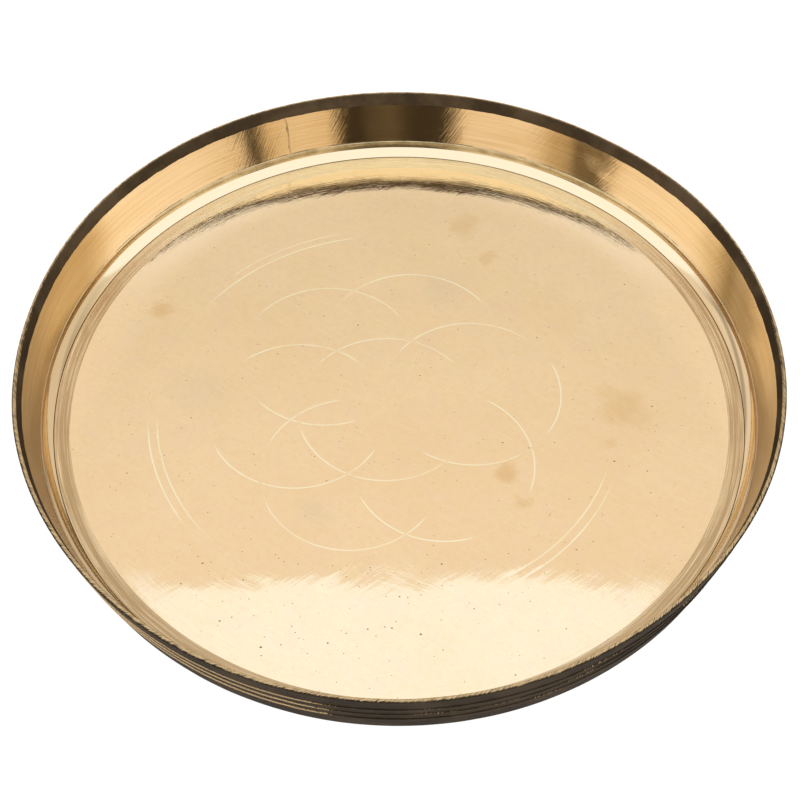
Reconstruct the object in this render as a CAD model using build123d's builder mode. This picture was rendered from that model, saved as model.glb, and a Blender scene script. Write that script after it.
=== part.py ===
from build123d import *
from math import asin, cos, hypot, pi, radians, sin
import os

# Round shallow brass tray, free-standing.
# Millimetres, +Z up along the tray's axis, origin at the centre of the underside.
# +X and +Y span the floor; the viewer's side of the tray is -Y.

# Driving dimensions
lip_radius = 280.0
height = 62.0
foot_radius = 266.0
wall_thickness = 3.1
floor_thickness = 2.0

# Floor pan: flat in the middle, gently dished to a turned groove, then a cove up to a flange
flat_radius = 211.6
groove_radius = 259.5
dish_rise = 3.1
groove_width = 0.6
groove_depth = 0.4
cove_start_z = 5.4
cove_end_radius = 266.1
cove_end_z = 10.6
cove_bulge = 0.32
flange_top = 17.5
flange_thickness = 1.2

# Scribed ornament on the floor: seven hand-set, nearly equal circles inside two rings.
# Each is the dividers' centre x, centre y and radius.
scribe_width = 0.7
scribe_depth = 0.15
scribed_rings = ((-9.4, -3.2, 173.2), (-9.4, -3.2, 180.0))
scribed_petals = (
    (-9.8, -5.9, 67.0),
    (55.6, 8.4, 67.8),
    (9.8, 59.1, 68.6),
    (-55.7, 45.5, 68.0),
    (-76.6, -12.0, 67.2),
    (-35.3, -65.5, 66.8),
    (32.5, -58.0, 67.2),
)

# Wall: three turned ridges on the outside, each with a ledge that faces up
ridge_heights = (21.0, 33.0, 45.0)
ridge_proud = 0.7
ridge_slope = 3.0
ledge_rise = 0.25
foot_bevel = 0.5

# Binding strip folded over the wall's upper edge
strip_thickness = 0.7
strip_inside = 10.0
strip_outside = height - ridge_heights[-1] - ledge_rise
lip_rounding = 0.65

# Brazed joints: where they are, counted from +X, and how wide
wall_joint_angle = 110.0
wall_joint_width = 1.2
rim_joint_angle = 269.5
rim_joint_width = 2.4
braze_low = 3.0
braze_hollow = 0.8

flare = (lip_radius - foot_radius) / height


def outer(z):
    """Radius of the wall's outer face at height z."""
    return foot_radius + flare * z


def inner(z):
    """Radius of the wall's inner face at height z."""
    return outer(z) - wall_thickness


def radial_plane(angle):
    """Upright plane through the axis: its x runs outwards at this angle, its y runs up."""
    turn = radians(angle)
    return Plane(origin=(0, 0, 0), x_dir=(cos(turn), sin(turn), 0), z_dir=(sin(turn), -cos(turn), 0))


def arc_degrees(width):
    """Angle that a joint of this width takes at the lip."""
    return 360 * width / (2 * pi * lip_radius)


def halfway(start, end, bulge):
    """Middle of an arc from start to end that bulges outwards and down from its chord."""
    run = end[0] - start[0]
    climb = end[1] - start[1]
    chord = hypot(run, climb)
    return ((start[0] + end[0]) / 2 + bulge * climb / chord, (start[1] + end[1]) / 2 - bulge * run / chord)


# The dish is an arc tangent to the flat floor; its underside is concentric with it
groove_z = floor_thickness + dish_rise
dish_run = groove_radius - flat_radius
dish_radius = (dish_run**2 + dish_rise**2) / (2 * dish_rise)
dish_end = asin(dish_run / dish_radius)
dish_middle = (
    flat_radius + dish_radius * sin(dish_end / 2),
    floor_thickness + dish_radius * (1 - cos(dish_end / 2)),
)
dish_middle_under = (
    dish_middle[0] + floor_thickness * sin(dish_end / 2),
    dish_middle[1] - floor_thickness * cos(dish_end / 2),
)
dish_edge_under = (
    groove_radius + floor_thickness * sin(dish_end),
    groove_z - floor_thickness * cos(dish_end),
)

# The cove from the groove to the flange: an arc inside the tray, two straight slopes underneath
cove_start = (groove_radius + groove_width / 2, cove_start_z)
cove_end = (cove_end_radius, cove_end_z)
cove_middle = halfway(cove_start, cove_end, cove_bulge)
cove_start_under = (cove_start[0] + floor_thickness / 2, cove_start[1] - floor_thickness * 0.9)
cove_end_under = (cove_end_radius + flange_thickness, cove_end_z)
cove_middle_under = halfway(cove_start_under, cove_end_under, cove_bulge)
wall_foot = (inner(0) + flange_thickness, 0)


def pan_section(angle):
    """Half of the floor pan's cross-section."""
    with BuildSketch(radial_plane(angle)) as section:
        with BuildLine():
            Line((0, 0), (flat_radius, 0))
            ThreePointArc((flat_radius, 0), dish_middle_under, dish_edge_under)
            Polyline(
                dish_edge_under,
                cove_start_under,
                cove_middle_under,
                cove_end_under,
                (inner(flange_top) + flange_thickness, flange_top),
                (inner(flange_top), flange_top),
                cove_end,
            )
            ThreePointArc(cove_end, cove_middle, cove_start)
            Polyline(
                cove_start,
                (groove_radius, groove_z - groove_depth),
                (groove_radius - groove_width / 2, groove_z),
            )
            ThreePointArc(
                (groove_radius - groove_width / 2, groove_z),
                dish_middle,
                (flat_radius, floor_thickness),
            )
            Polyline((flat_radius, floor_thickness), (0, floor_thickness), (0, 0))
        make_face()
    return section.sketch


def wall_section(angle):
    """Cross-section of the wall strip: rebated at its top for the binding, at its foot for the flange."""
    ridges = []
    for z in ridge_heights:
        ridges.append((outer(z - ridge_slope), z - ridge_slope))
        ridges.append((outer(z) + ridge_proud, z))
        ridges.append((outer(z + ledge_rise), z + ledge_rise))
    seat = ridge_heights[-1] + ledge_rise
    top = height - strip_thickness
    inside_edge = height - strip_inside
    with BuildSketch(radial_plane(angle)) as section:
        with BuildLine():
            Polyline(
                wall_foot,
                (outer(0) - foot_bevel, 0),
                (outer(foot_bevel), foot_bevel),
                *ridges,
                (outer(seat) - strip_thickness, seat),
                (outer(top) - strip_thickness, top),
                (inner(top) + strip_thickness, top),
                (inner(inside_edge) + strip_thickness, inside_edge),
                (inner(inside_edge), inside_edge),
                (inner(flange_top), flange_top),
                (inner(flange_top) + flange_thickness, flange_top),
                cove_end_under,
                close=True,
            )
        make_face()
    return section.sketch


def rim_section(angle):
    """Cross-section of the folded binding strip: an upside-down U over the wall's edge."""
    seat = height - strip_outside
    top = height - strip_thickness
    inside_edge = height - strip_inside
    with BuildSketch(radial_plane(angle)) as section:
        with BuildLine():
            Polyline(
                (outer(seat) - strip_thickness, seat),
                (outer(seat), seat),
                (outer(height - lip_rounding), height - lip_rounding),
                (outer(height) - lip_rounding, height),
                (inner(height) + lip_rounding, height),
                (inner(height - lip_rounding), height - lip_rounding),
                (inner(inside_edge), inside_edge),
                (inner(inside_edge) + strip_thickness, inside_edge),
                (inner(top) + strip_thickness, top),
                (outer(top) - strip_thickness, top),
                close=True,
            )
        make_face()
    return section.sketch


def braze_section(angle):
    """Cross-section of the solder bead between the pan's cove and the wall's foot."""
    share = braze_low / cove_end_z
    at_wall = (wall_foot[0] + (cove_end_under[0] - wall_foot[0]) * share, braze_low)
    hollow = (
        (cove_start_under[0] + at_wall[0]) / 2,
        (cove_start_under[1] + at_wall[1]) / 2 + braze_hollow,
    )
    with BuildSketch(radial_plane(angle)) as section:
        with BuildLine():
            Polyline(
                cove_start_under,
                cove_middle_under,
                cove_end_under,
                at_wall,
                hollow,
                close=True,
            )
        make_face()
    return section.sketch


# The floor pan, with the ornament scribed into its upper face
with BuildPart() as floor_pan:
    revolve(pan_section(0), axis=Axis.Z, revolution_arc=360)
    for centre_x, centre_y, radius in scribed_rings + scribed_petals:
        with BuildSketch(Plane.XY.offset(floor_thickness)):
            with Locations((centre_x, centre_y)):
                Circle(radius + scribe_width / 2)
                Circle(radius - scribe_width / 2, mode=Mode.SUBTRACT)
        extrude(amount=-scribe_depth, mode=Mode.SUBTRACT)
floor_pan.part.label = "floor_pan"

# The wall strip, rolled round and open at its joint
wall_gap = arc_degrees(wall_joint_width)
with BuildPart() as wall_band:
    revolve(
        wall_section(wall_joint_angle + wall_gap / 2),
        axis=Axis.Z,
        revolution_arc=360 - wall_gap,
    )
wall_band.part.label = "wall_band"

# The brazed joint that closes the wall strip
with BuildPart() as wall_joint:
    revolve(
        wall_section(wall_joint_angle - wall_gap / 2),
        axis=Axis.Z,
        revolution_arc=wall_gap,
    )
wall_joint.part.label = "wall_joint"

# The binding strip over the wall's edge, open at its own joint
rim_gap = arc_degrees(rim_joint_width)
with BuildPart() as rim_strip:
    revolve(
        rim_section(rim_joint_angle + rim_gap / 2),
        axis=Axis.Z,
        revolution_arc=360 - rim_gap,
    )
rim_strip.part.label = "rim_strip"

# The brazed joint that closes the binding strip
with BuildPart() as rim_joint:
    revolve(
        rim_section(rim_joint_angle - rim_gap / 2),
        axis=Axis.Z,
        revolution_arc=rim_gap,
    )
rim_joint.part.label = "rim_joint"

# The bead of hard solder that holds the pan in the wall
with BuildPart() as corner_braze:
    revolve(braze_section(0), axis=Axis.Z, revolution_arc=360)
corner_braze.part.label = "corner_braze"

os.makedirs("parts", exist_ok=True)
export_step(floor_pan.part, "parts/floor_pan.step")
export_step(wall_band.part, "parts/wall_band.step")
export_step(wall_joint.part, "parts/wall_joint.step")
export_step(rim_strip.part, "parts/rim_strip.step")
export_step(rim_joint.part, "parts/rim_joint.step")
export_step(corner_braze.part, "parts/corner_braze.step")
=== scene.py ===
"""Round brass tray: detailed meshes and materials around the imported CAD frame. Metres, +Z up."""

import random
from bisect import bisect_right
from collections import namedtuple
from math import atan2, ceil, cos, degrees, hypot, pi, radians, sin, sqrt

import bmesh
import bpy
from mathutils import Matrix, Vector, noise
from mathutils.geometry import delaunay_2d_cdt


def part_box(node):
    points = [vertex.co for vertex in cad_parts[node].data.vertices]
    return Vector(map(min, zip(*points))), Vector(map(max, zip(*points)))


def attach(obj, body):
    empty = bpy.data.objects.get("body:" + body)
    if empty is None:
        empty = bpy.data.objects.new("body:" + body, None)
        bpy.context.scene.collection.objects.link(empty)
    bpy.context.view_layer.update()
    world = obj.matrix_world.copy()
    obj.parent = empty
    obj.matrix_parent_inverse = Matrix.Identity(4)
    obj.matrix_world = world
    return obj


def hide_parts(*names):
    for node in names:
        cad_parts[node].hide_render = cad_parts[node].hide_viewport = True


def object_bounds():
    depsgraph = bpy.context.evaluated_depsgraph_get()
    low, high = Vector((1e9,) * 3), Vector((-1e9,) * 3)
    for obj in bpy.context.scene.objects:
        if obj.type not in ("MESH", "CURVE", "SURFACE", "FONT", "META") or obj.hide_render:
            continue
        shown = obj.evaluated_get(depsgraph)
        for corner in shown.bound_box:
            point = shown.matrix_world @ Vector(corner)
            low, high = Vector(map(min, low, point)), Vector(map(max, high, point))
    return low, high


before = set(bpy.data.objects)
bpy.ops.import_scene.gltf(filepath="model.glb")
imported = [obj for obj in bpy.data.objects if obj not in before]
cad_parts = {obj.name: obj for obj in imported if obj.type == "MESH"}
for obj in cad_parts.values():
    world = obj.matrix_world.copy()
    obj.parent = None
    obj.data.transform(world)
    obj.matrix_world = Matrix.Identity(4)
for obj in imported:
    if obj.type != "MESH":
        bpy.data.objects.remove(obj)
cad_low, cad_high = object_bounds()

# ---- sizes read from the frame

MM = 0.001
HEIGHT = cad_high.z
LIP_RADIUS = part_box("rim_strip")[1].x
STRIP_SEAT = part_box("rim_strip")[0].z
WALL_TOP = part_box("wall_band")[1].z
FLANGE_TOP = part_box("floor_pan")[1].z
BRAZE_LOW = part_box("corner_braze")[0].z

# ---- named sizes of the same design

WALL = 3.1 * MM
FLOOR = 2.0 * MM
FLAT_RADIUS = 211.6 * MM
RING_START = 247.8 * MM
GROOVE_RADIUS = 259.5 * MM
DISH_RISE = 3.1 * MM
COVE_START_Z = 5.4 * MM
COVE_END_RADIUS = 266.1 * MM
COVE_END_Z = 10.6 * MM
COVE_BULGE = 0.32 * MM
FLANGE = 1.2 * MM
FOOT_RADIUS = 266.0 * MM
STRIP = 0.7 * MM
STRIP_INSIDE = 10.0 * MM
FLARE = (LIP_RADIUS - FOOT_RADIUS) / HEIGHT
RIDGES = (21.0 * MM, 33.0 * MM, 45.0 * MM)
RIDGE_PROUD = 0.7 * MM
RIDGE_FOOT = 3.0 * MM

WALL_JOINT = radians(110.0)
RIM_JOINT = radians(269.5)
TURNS = 720

SCRIBE_WIDTH = 1.5 * MM
SCRIBE_DEPTH = 0.025 * MM

# Hand-made out-of-round of the lip: angle from +X in degrees, radial offset in millimetres
OUT_OF_ROUND = (
    (0, -0.3),
    (30, 1.6),
    (55, -1.3),
    (90, -1.1),
    (140, 0.5),
    (172, -1.9),
    (200, -0.3),
    (240, -0.2),
    (268, -0.2),
    (307, -2.4),
    (340, -0.6),
)


def smooth(t):
    """Eased step from 0 to 1."""
    t = min(1.0, max(0.0, t))
    return t * t * (3 - 2 * t)


def out_of_round(angle):
    """Radial offset of the lip at this angle, in metres."""
    turn = degrees(angle) % 360
    stops = [a for a, _ in OUT_OF_ROUND]
    i = bisect_right(stops, turn) - 1
    a0, v0 = OUT_OF_ROUND[i]
    a1, v1 = OUT_OF_ROUND[(i + 1) % len(OUT_OF_ROUND)]
    share = (turn - a0) / ((a1 - a0) % 360)
    return (v0 + (v1 - v0) * smooth(share)) * MM


def outer(z):
    return FOOT_RADIUS + FLARE * z


def inner(z):
    return outer(z) - WALL


def around(angle, scale):
    """Point on a circle in noise space, so that noise along an angle closes on itself."""
    return Vector((cos(angle) * scale, sin(angle) * scale, 0))


def place(radius, angle, z):
    """Point of the tray at this radius, angle and height, with the lip's out-of-round."""
    lift = max(0.0, z) / HEIGHT
    r = radius + out_of_round(angle) * lift**1.3
    return Vector((r * cos(angle), r * sin(angle), z))


# ---- mesh helpers


def add_object(name, data):
    thing = bpy.data.objects.new(name, data)
    bpy.context.scene.collection.objects.link(thing)
    return thing


def piece(name, mesh, node, materials, sharp):
    """Turns a finished mesh into a piece that rides on the tray and stands for a CAD node."""
    thing = add_object(name, mesh)
    for material in materials:
        mesh.materials.append(material)
    mesh.shade_smooth()
    mesh.set_sharp_from_angle(angle=radians(sharp))
    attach(thing, "root")
    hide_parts(node)


def finished_mesh(bm, name):
    """The mesh of this name that a bmesh has built, with its faces turned outwards."""
    bmesh.ops.recalc_face_normals(bm, faces=bm.faces)
    mesh = bpy.data.meshes.new(name)
    bm.to_mesh(mesh)
    bm.free()
    return mesh


def sweep_round(name, section, steps):
    """Mesh swept all round the axis. section(angle) gives the points of a closed outline."""
    bm = bmesh.new()
    rows = []
    for i in range(steps):
        rows.append([bm.verts.new(p) for p in section(2 * pi * i / steps)])
    size = len(rows[0])
    for i in range(steps):
        here, there = rows[i], rows[(i + 1) % steps]
        for j in range(size):
            k = (j + 1) % size
            bm.faces.new((here[j], there[j], there[k], here[k]))
    return finished_mesh(bm, name)


def between(low, high, count):
    """Evenly spaced values from low to high, both included."""
    return [low + (high - low) * i / (count - 1) for i in range(count)]


# ---- node graphs


class Graph:
    """Builds a material's or the world's node tree with short calls that return output sockets."""

    def __init__(self, tree):
        self.tree = tree
        tree.nodes.clear()

    def node(self, kind, inputs=None, **settings):
        made = self.tree.nodes.new(kind)
        for key, value in settings.items():
            setattr(made, key, value)
        for key, value in (inputs or {}).items():
            self.feed(made.inputs[key], value)
        return made

    def feed(self, socket, value):
        if isinstance(value, bpy.types.NodeSocket):
            self.tree.links.new(value, socket)
        else:
            socket.default_value = value

    def math(self, operation, a, b=0.0, c=0.0):
        made = self.node("ShaderNodeMath", operation=operation)
        for socket, value in zip(made.inputs, (a, b, c)):
            self.feed(socket, value)
        return made.outputs[0]

    def step(self, value, low, high, start=0.0, end=1.0):
        """Eased change from start to end while value goes from low to high."""
        inputs = {
            "Value": value,
            "From Min": low,
            "From Max": high,
            "To Min": start,
            "To Max": end,
        }
        made = self.node("ShaderNodeMapRange", inputs, interpolation_type="SMOOTHSTEP")
        return made.outputs["Result"]

    def mix(self, share, a, b):
        """Colour a where share is 0 and b where it is 1."""
        made = self.node("ShaderNodeMix", {"Factor": share, "A": a, "B": b}, data_type="RGBA")
        return made.outputs["Result"]

    def tint(self, colour, other, value, low, high, most):
        """Colour drawn towards another, by a share of at most most, as value goes from low to high."""
        return self.mix(self.step(value, low, high, 0.0, most), colour, other)

    def scaled(self, vector, factor):
        """Vector or colour times a factor."""
        made = self.node("ShaderNodeVectorMath", {0: vector, "Scale": factor}, operation="SCALE")
        return made.outputs[0]

    def moved(self, where, distance, axis="Z"):
        """Coordinate moved along an axis by a value."""
        shift = self.node("ShaderNodeCombineXYZ", {axis: distance}).outputs[0]
        return self.node("ShaderNodeVectorMath", {0: where, 1: shift}, operation="ADD").outputs[0]

    def mapped(self, where, scale, turn=0.0):
        """Coordinate turned about Z, then stretched."""
        turned = self.node("ShaderNodeMapping", {"Vector": where, "Rotation": (0, 0, turn)})
        return self.node("ShaderNodeMapping", {"Vector": turned.outputs[0], "Scale": scale}).outputs[0]

    def noise(self, where, scale, detail, rough):
        inputs = {"Vector": where, "Scale": scale, "Detail": detail, "Roughness": rough}
        return self.node("ShaderNodeTexNoise", inputs).outputs["Fac"]

    def streaks(self, direction, along, across, fineness, detail, rough, axis="Z"):
        """Noise drawn out round the tray: along is its scale round it, fineness its scale across."""
        where = self.scaled(direction, along)
        where = self.moved(where, self.math("MULTIPLY", across, fineness), axis)
        return self.noise(where, 1.0, detail, rough)

    def slanted(self, direction, turn, scale, up):
        """Noise place for strokes that climb slantwise round the tray: turned by turn, then moved up."""
        inputs = {"Vector": direction, "Angle": turn}
        turned = self.node("ShaderNodeVectorRotate", inputs, rotation_type="Z_AXIS")
        return self.moved(self.scaled(turned.outputs[0], scale), up)

    def spot(self, where, centre, size, wobble, wobble_size):
        """1 inside a soft-edged spot, 0 outside; wobble is a noise value that makes its edge uneven."""
        away = self.node("ShaderNodeVectorMath", {0: where, 1: (*centre, 0)}, operation="DISTANCE")
        stray = self.math("SUBTRACT", wobble, 0.5)
        uneven = self.math("MULTIPLY_ADD", stray, wobble_size, away.outputs["Value"])
        return self.step(uneven, size, size * 0.15)

    def attribute(self, name):
        """Value of a mesh attribute."""
        return self.node("ShaderNodeAttribute", attribute_name=name).outputs["Fac"]

    def surface(self, shader, kind="ShaderNodeOutputMaterial"):
        """Sends a shader node to the tree's output."""
        self.node(kind, {"Surface": shader.outputs[0]})


Place = namedtuple("Place", "position flat radius direction y z")


def polar(g):
    """Where on the tray a point is, from its object coordinates, as sockets."""
    position = g.node("ShaderNodeTexCoord").outputs["Object"]
    x, y, z = g.node("ShaderNodeSeparateXYZ", {"Vector": position}).outputs
    flat = g.node("ShaderNodeCombineXYZ", {"X": x, "Y": y}).outputs[0]
    radius = g.node("ShaderNodeVectorMath", {0: flat}, operation="LENGTH").outputs["Value"]
    direction = g.node("ShaderNodeVectorMath", {0: flat}, operation="NORMALIZE").outputs[0]
    return Place(position, flat, radius, direction, y, z)


def new_material(name):
    made = bpy.data.materials.new(name)
    made.use_nodes = True
    return made, Graph(made.node_tree)


def finish_material(g, colour, roughness, metallic, heights, sheen=0.5):
    """Principled shader. heights are pairs of a height and how many metres it stands for; sheen is
    the Specular IOR Level, which says how strongly the patina reflects where it isn't metal."""
    inputs = {
        "Base Color": colour,
        "Roughness": roughness,
        "Metallic": metallic,
        "Specular IOR Level": sheen,
    }
    shader = g.node("ShaderNodeBsdfPrincipled", inputs)
    normal = None
    for height, strength in heights:
        bump = g.node("ShaderNodeBump", {"Height": height, "Distance": strength, "Strength": 1.0})
        if normal is not None:
            g.feed(bump.inputs["Normal"], normal)
        normal = bump.outputs[0]
    g.feed(shader.inputs["Normal"], normal)
    g.surface(shader)


# ---- materials

BRASS = (0.90, 0.68, 0.39, 1)
BRASS_DEEP = (0.84, 0.60, 0.30, 1)
BRASS_ROSE = (0.88, 0.63, 0.40, 1)
BRASS_PALE = (0.95, 0.77, 0.50, 1)
# Painted highlight colour of the ring's far side
BRASS_HIGHLIGHT = (1.0, 0.86, 0.58, 1)
# Painted glint colour of the flange's top land
BRASS_GLINT_GOLD = (0.82, 0.58, 0.26, 1)
TURNED = (0.70, 0.48, 0.23, 1)
# Painted shade colours of the near side: grey for the flange and wall, tan for the cove, brown for the
# wall
SHADE_GREY = (0.68, 0.57, 0.40, 1)
COVE_SHADE_TAN = (0.81, 0.56, 0.29, 1)
WALL_SHADE_BROWN = (0.46, 0.33, 0.17, 1)
STAIN = (0.78, 0.53, 0.25, 1)
GREY_STAIN = (0.75, 0.59, 0.37, 1)
# Fresh-cut brass with a painted glint, for the scribed lines
FRESH_CUT_AND_GLINT = (1.0, 0.97, 0.68, 1)
# Tarnish; also painted shade in the cove's groove and crack and at the wall's foot
TARNISH_AND_SHADE = (0.30, 0.20, 0.09, 1)
RING_DULL = (0.48, 0.31, 0.145, 1)
PATINA = (0.050, 0.031, 0.014, 1)
PATINA_PALE = (0.095, 0.060, 0.028, 1)
PATINA_RED = (0.068, 0.036, 0.015, 1)
# Brass where the patina is gone, through wear and as painted highlight
WORN_AND_GLINT = (0.64, 0.41, 0.18, 1)
SOLDER = (0.80, 0.58, 0.31, 1)
PATINA_SHEEN = 0.03

# Soft stains on the floor: x and y of the centre and radius in metres, and strength
STAINS = (
    ((0.171, -0.008), 0.024, 0.75),
    ((0.158, 0.004), 0.012, 0.45),
    ((0.157, -0.043), 0.009, 0.60),
    ((0.081, -0.067), 0.012, 1.00),
    ((0.089, -0.093), 0.009, 0.80),
    ((0.056, 0.181), 0.018, 0.65),
    ((0.074, 0.147), 0.009, 0.60),
    ((-0.188, 0.093), 0.011, 0.90),
    ((0.180, -0.150), 0.018, 0.35),
)
GREY_STAINS = (
    ((0.036, 0.112), 0.026, 0.40),
    ((-0.062, -0.100), 0.018, 0.40),
    ((-0.150, 0.010), 0.032, 0.25),
)
# How far noise may push a stain's edge, in metres
STAIN_WOBBLE = 0.030


def stained(g, flat, wobble, stains):
    """How stained the floor is at each place, from 0 to 1."""
    marks = 0.0
    for centre, size, strength in stains:
        spot = g.spot(flat, centre, size, wobble, STAIN_WOBBLE)
        marks = g.math("MAXIMUM", marks, g.math("MULTIPLY", spot, strength))
    return marks


def polished_brass():
    """The floor: near-mirror brass with fine buffing, faint clouds and old stains."""
    made, g = new_material("polished_brass")
    at = polar(g)
    cloud = g.noise(at.position, 9.0, 3.0, 0.55)
    wobble = g.noise(at.position, 60.0, 4.0, 0.65)
    mottle = g.noise(at.position, 260.0, 4.0, 0.7)
    colour = g.tint(BRASS, BRASS_DEEP, cloud, 0.35, 0.70, 0.35)
    colour = g.tint(colour, STAIN, mottle, 0.42, 0.66, 0.22)
    colour = g.tint(colour, BRASS_ROSE, wobble, 0.46, 0.66, 0.40)
    specks = g.step(g.noise(at.position, 420.0, 1.0, 0.4), 0.775, 0.80)
    colour = g.mix(specks, colour, TARNISH_AND_SHADE)
    marks = stained(g, at.flat, wobble, STAINS)
    colour = g.mix(stained(g, at.flat, wobble, GREY_STAINS), colour, GREY_STAIN)
    colour = g.mix(marks, colour, STAIN)

    # Buffing strokes go one of two ways from patch to patch; the finer hairs cross everywhere
    one_way = g.noise(g.mapped(at.position, (18, 110, 1), radians(24)), 1.0, 4.0, 0.62)
    other_way = g.noise(g.mapped(at.position, (125, 20, 1), radians(52)), 1.0, 4.0, 0.62)
    which = g.step(g.noise(at.position, 11.0, 2.0, 0.5), 0.42, 0.58)
    strokes = g.math("MULTIPLY_ADD", which, g.math("SUBTRACT", one_way, other_way), other_way)
    hairs = g.noise(g.mapped(at.position, (30, 1100, 1), radians(35)), 1.0, 2.0, 0.6)
    cross = g.noise(g.mapped(at.position, (1000, 34, 1), radians(-24)), 1.0, 2.0, 0.6)

    # Towards its edge the floor is turned instead
    outside = g.step(at.radius, 0.216, 0.240)
    # Painted highlight: the turned edge is painted paler towards the far side
    pale = g.math("MULTIPLY", outside, g.step(at.y, 0.08, 0.18, 0.0, 0.8))
    colour = g.mix(pale, colour, BRASS_PALE)
    turned = g.streaks(at.direction, 5.0, at.radius, 900.0, 3.0, 0.7)
    turned = g.math("MULTIPLY", turned, outside)
    colour = g.tint(colour, BRASS_DEEP, turned, 0.52, 0.68, 0.5)
    colour = g.tint(colour, BRASS_PALE, hairs, 0.48, 0.74, 0.30)
    colour = g.tint(colour, BRASS_ROSE, cross, 0.48, 0.74, 0.30)

    # Painted glint: the scribed lines are painted bright, as fresh-cut brass plus a painted glint, the
    # more the deeper they are
    scribe = g.attribute("scribe")
    colour = g.mix(g.math("MULTIPLY", scribe, 0.95), colour, FRESH_CUT_AND_GLINT)
    pits = g.attribute("pit")
    colour = g.mix(pits, colour, TARNISH_AND_SHADE)
    rough = g.math("MULTIPLY_ADD", hairs, 0.05, 0.02)
    rough = g.math("MULTIPLY_ADD", marks, 0.10, rough)
    rough = g.math("MULTIPLY_ADD", scribe, 0.10, rough)
    rough = g.math("MULTIPLY_ADD", pits, 0.35, rough)
    heights = (
        (strokes, 0.044 * MM),
        (turned, 0.030 * MM),
        (hairs, 0.0016 * MM),
        (cross, 0.0014 * MM),
    )
    finish_material(g, colour, rough, 1.0, heights)
    return made


def brushed_brass():
    """The ring at the floor's edge: fine concentric brush lines, duller on the near side; its brighter
    far side is a painted highlight.
    """
    made, g = new_material("brushed_brass")
    at = polar(g)
    lines = g.streaks(at.direction, 3.0, at.radius, 1500.0, 4.0, 0.75)
    cloud = g.noise(at.position, 14.0, 3.0, 0.6)
    bands = g.step(g.streaks(at.direction, 1.6, at.radius, 480.0, 3.0, 0.7), 0.44, 0.58)
    fine = g.math("MULTIPLY", g.step(lines, 0.38, 0.54), g.step(cloud, 0.30, 0.62, 0.5, 0.9))
    dull = g.math("MAXIMUM", fine, g.math("MULTIPLY", bands, 0.9))
    # Painted highlight: the far side is painted brighter, and its dull brush lines fade there
    far = g.step(at.y, 0.08, 0.20)
    dull = g.math("MULTIPLY", dull, g.math("MULTIPLY_ADD", far, -0.75, 1.0))
    colour = g.mix(dull, g.mix(far, BRASS, BRASS_HIGHLIGHT), RING_DULL)
    rough = g.math("MULTIPLY_ADD", lines, 0.12, 0.06)
    finish_material(g, colour, rough, 1.0, ((lines, 0.12 * MM),))
    return made


def cove_brass():
    """The groove, the steep polished cove and the flange above it, with tarnish and painted shade in
    their corners.
    """
    made, g = new_material("cove_brass")
    at = polar(g)
    lines = g.streaks(at.direction, 1.0, at.z, 1500.0, 3.0, 0.7, "X")
    grime_shade_noise = g.noise(g.mapped(at.position, (60, 60, 60)), 1.0, 4.0, 0.65)
    colour = g.tint(BRASS, BRASS_DEEP, lines, 0.4, 0.75, 0.35)
    # Painted highlight: the land at the flange's top, where it catches the light, is tinted gold
    colour = g.tint(colour, BRASS_GLINT_GOLD, at.z, FLANGE_TOP - 1.1 * MM, FLANGE_TOP - 0.8 * MM, 0.8)

    # Tarnish and painted shade: in the crack at the flange's upper edge; dark patches over the flange,
    # more on the far side; and painted shade in the groove
    edge = g.step(at.z, FLANGE_TOP - 0.22 * MM, FLANGE_TOP - 0.10 * MM)
    grime_and_shade = g.math("MULTIPLY", edge, g.step(grime_shade_noise, 0.40, 0.56, 0.1, 1.0))
    steep = g.step(at.z, COVE_END_Z, COVE_END_Z + 2.5 * MM)
    patches = g.step(grime_shade_noise, 0.36, 0.64, 0.45, 0.9)
    steep_dark_patches = g.math("MULTIPLY", patches, g.step(at.y, 0.14, 0.24, 0.3, 0.7))
    grime_and_shade = g.math("MAXIMUM", grime_and_shade, g.math("MULTIPLY", steep, steep_dark_patches))
    near_groove = g.math("ABSOLUTE", g.math("SUBTRACT", at.radius, GROOVE_RADIUS))
    grime_and_shade = g.math("MAXIMUM", grime_and_shade, g.step(near_groove, 0.34 * MM, 0.16 * MM))

    # Painted shade: the near side is painted duller, tan, and grey except low in the cove
    near = g.step(at.y, 0.14, 0.02)
    colour = g.mix(g.math("MULTIPLY", near, 0.85), colour, COVE_SHADE_TAN)
    low_cove = g.step(at.z, COVE_END_Z, COVE_START_Z + 2.0 * MM)
    low_cove = g.math("MULTIPLY", low_cove, g.step(at.y, -0.15, -0.07))
    wear_and_painted_light = g.step(at.y, -0.01, -0.09, 0.0, 0.9)
    wear_and_painted_light = g.math("MULTIPLY", wear_and_painted_light, g.math("SUBTRACT", 1.0, low_cove))
    colour = g.mix(wear_and_painted_light, colour, SHADE_GREY)
    colour = g.mix(grime_and_shade, colour, TARNISH_AND_SHADE)
    rough = g.math("MULTIPLY_ADD", lines, 0.07, 0.05)
    rough = g.math("MULTIPLY_ADD", g.math("MULTIPLY", near, steep), 0.30, rough)
    rough = g.math("MULTIPLY_ADD", grime_and_shade, 0.3, rough)
    finish_material(g, colour, rough, 1.0, ((lines, 0.012 * MM),))
    return made


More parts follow.
